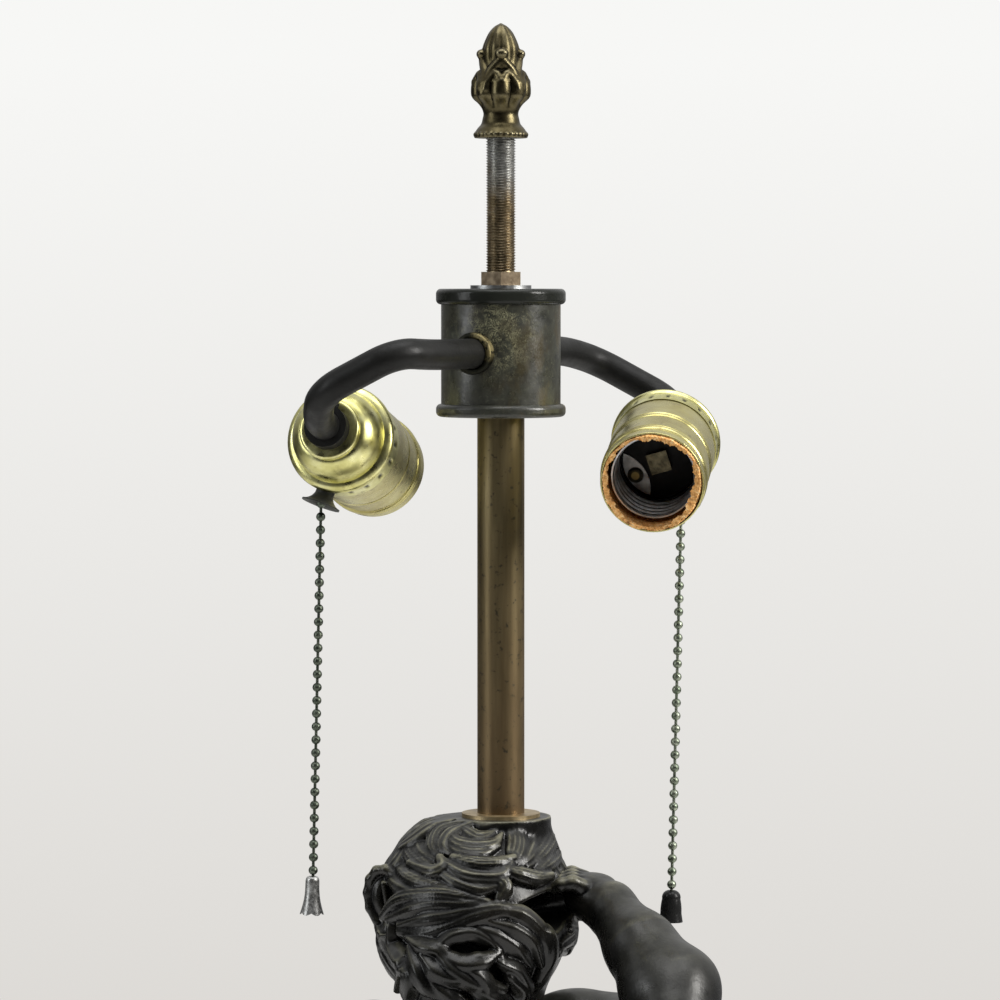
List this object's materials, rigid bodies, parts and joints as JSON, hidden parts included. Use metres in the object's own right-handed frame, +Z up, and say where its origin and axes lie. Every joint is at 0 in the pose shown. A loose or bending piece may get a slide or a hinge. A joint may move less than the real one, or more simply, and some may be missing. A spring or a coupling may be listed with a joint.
{
  "type": "figural table lamp",
  "caption": "Seated cast figure on a round base carrying a stem, a two-arm cluster with pull-chain lampholders and a threaded shade rod under a finial.",
  "frame": {"origin": "middle of the felt underside, on the stem's axis", "axes": "+Z up along the stem, -Y to the front, where the figure faces, +X to the right as seen from the front"},
  "size_m": [0.21, 0.21, 0.7103],
  "materials": {
    "felt": "green-black wool felt",
    "cast_bronze": "dark patinated casting, grey-green on its high places",
    "steel": "plain steel",
    "black_plastic": "black moulded bushing",
    "worn_pipe": "worn threaded pipe, grey above and brown below",
    "brown_nut": "dull brown hex nut",
    "zinc": "dull zinc washer",
    "brass_disc": "brown aged brass",
    "stem_brass": "brown aged brass tube with streaks",
    "black_metal": "black satin paint, worn",
    "finial_bronze": "dark bronze with brassy high places",
    "wire_cloth": "black insulated lead",
    "wire_nut": "moulded connector",
    "terminal_brass": "brass",
    "cap_brass": "greenish polished brass, tarnished in its grooves",
    "shell_brass": "pale tarnished brass",
    "liner_paper": "orange-brown fibre liner with a torn edge",
    "phenolic": "black moulded insulator",
    "screw_aluminium": "dull aluminium",
    "bead_metal": "grey-green tarnished bead chain",
    "guide_brass": "pale nickelled brass",
    "bell_silver": "dull silver stamped bell"
  },
  "bodies": {
    "lamp": {"base_felt": "felt", "base_plinth": "cast_bronze", "rock_seat": "cast_bronze", "figure_torso": "cast_bronze", "figure_head": "cast_bronze", "figure_raised_arm": "cast_bronze", "figure_resting_arm": "cast_bronze", "figure_robe": "cast_bronze", "figure_feet": "cast_bronze", "pipe_washer": "steel", "pipe_locknuts": "steel", "base_screws": "steel", "casting_pins": "steel", "arm_locknuts": "steel", "hub_screws": "steel", "lever_pins": "steel", "inlet_bushing": "black_plastic", "centre_pipe": "worn_pipe", "cluster_nut": "brown_nut", "cluster_washer": "zinc", "collar_disc": "brass_disc", "arm_rings": "brass_disc", "stem_tube": "stem_brass", "stem_bushes": "steel", "cluster_cup": "black_metal", "cluster_lid": "black_metal", "hub_collars": "black_metal", "left_arm": "black_metal", "right_arm": "black_metal", "left_chain_guide": "black_metal", "left_arm_wire": "wire_cloth", "right_arm_wire": "wire_cloth", "wire_nuts": "wire_nut", "terminal_screws": "terminal_brass", "left_socket_cap": "cap_brass", "left_socket_shell": "shell_brass", "left_socket_liner": "liner_paper", "left_socket_interior": "phenolic", "left_screw_shell": "screw_aluminium", "left_shell_strip": "screw_aluminium", "left_centre_contact": "terminal_brass", "right_socket_cap": "cap_brass", "right_socket_shell": "shell_brass", "right_socket_liner": "liner_paper", "right_socket_interior": "phenolic", "right_screw_shell": "screw_aluminium", "right_shell_strip": "screw_aluminium", "right_centre_contact": "terminal_brass", "right_chain_guide": "guide_brass"},
    "finial": {"finial": "finial_bronze"},
    "left_lever": {"left_switch_lever": "phenolic"},
    "left_lead": {"left_pull_lead": "bead_metal"},
    "left_chain": {"left_pull_chain": "bead_metal", "left_chain_bell": "bell_silver"},
    "right_lever": {"right_switch_lever": "phenolic"},
    "right_lead": {"right_pull_lead": "bead_metal"},
    "right_chain": {"right_pull_chain": "bead_metal", "right_chain_bell": "black_metal"}
  },
  "joints": [
    {"name": "finial_lift", "type": "slide", "parent": "lamp", "child": "finial", "axis": [0, 0, 1], "range_m": [0, 0.06]},
    {"name": "left_pull", "type": "slide", "parent": "lamp", "child": "left_lead", "axis": [-0.3436, -0.1694, -0.9237], "range_m": [0, 0.007], "stiffness_N_per_m": 150, "springref_m": -0.006},
    {"name": "left_switch", "type": "hinge", "parent": "lamp", "child": "left_lever", "pos_m": [-0.05393, 0.00638, 0.55879], "axis": [0.9096, -0.3048, -0.2824], "range_deg": [0, 46]},
    {"name": "left_chain_swing", "type": "hinge", "parent": "left_lead", "child": "left_chain", "pos_m": [-0.06184, -0.00492, 0.54551], "axis": [1, 0, 0], "range_deg": [-18, 18]},
    {"name": "right_pull", "type": "slide", "parent": "lamp", "child": "right_lead", "axis": [0.2662, 0.2167, -0.9392], "range_m": [0, 0.007], "stiffness_N_per_m": 150, "springref_m": -0.006},
    {"name": "right_switch", "type": "hinge", "parent": "lamp", "child": "right_lever", "pos_m": [0.05679, -0.00674, 0.55719], "axis": [-0.9545, 0.1952, -0.2255], "range_deg": [0, 46]},
    {"name": "right_chain_swing", "type": "hinge", "parent": "right_lead", "child": "right_chain", "pos_m": [0.0625, 0.00553, 0.54365], "axis": [1, 0, 0], "range_deg": [-12, 18]}
  ],
  "couplings": [
    {"joint": "left_switch", "follows": "left_pull", "rad_per_m": 111.11},
    {"joint": "right_switch", "follows": "right_pull", "rad_per_m": 111.11}
  ]
}
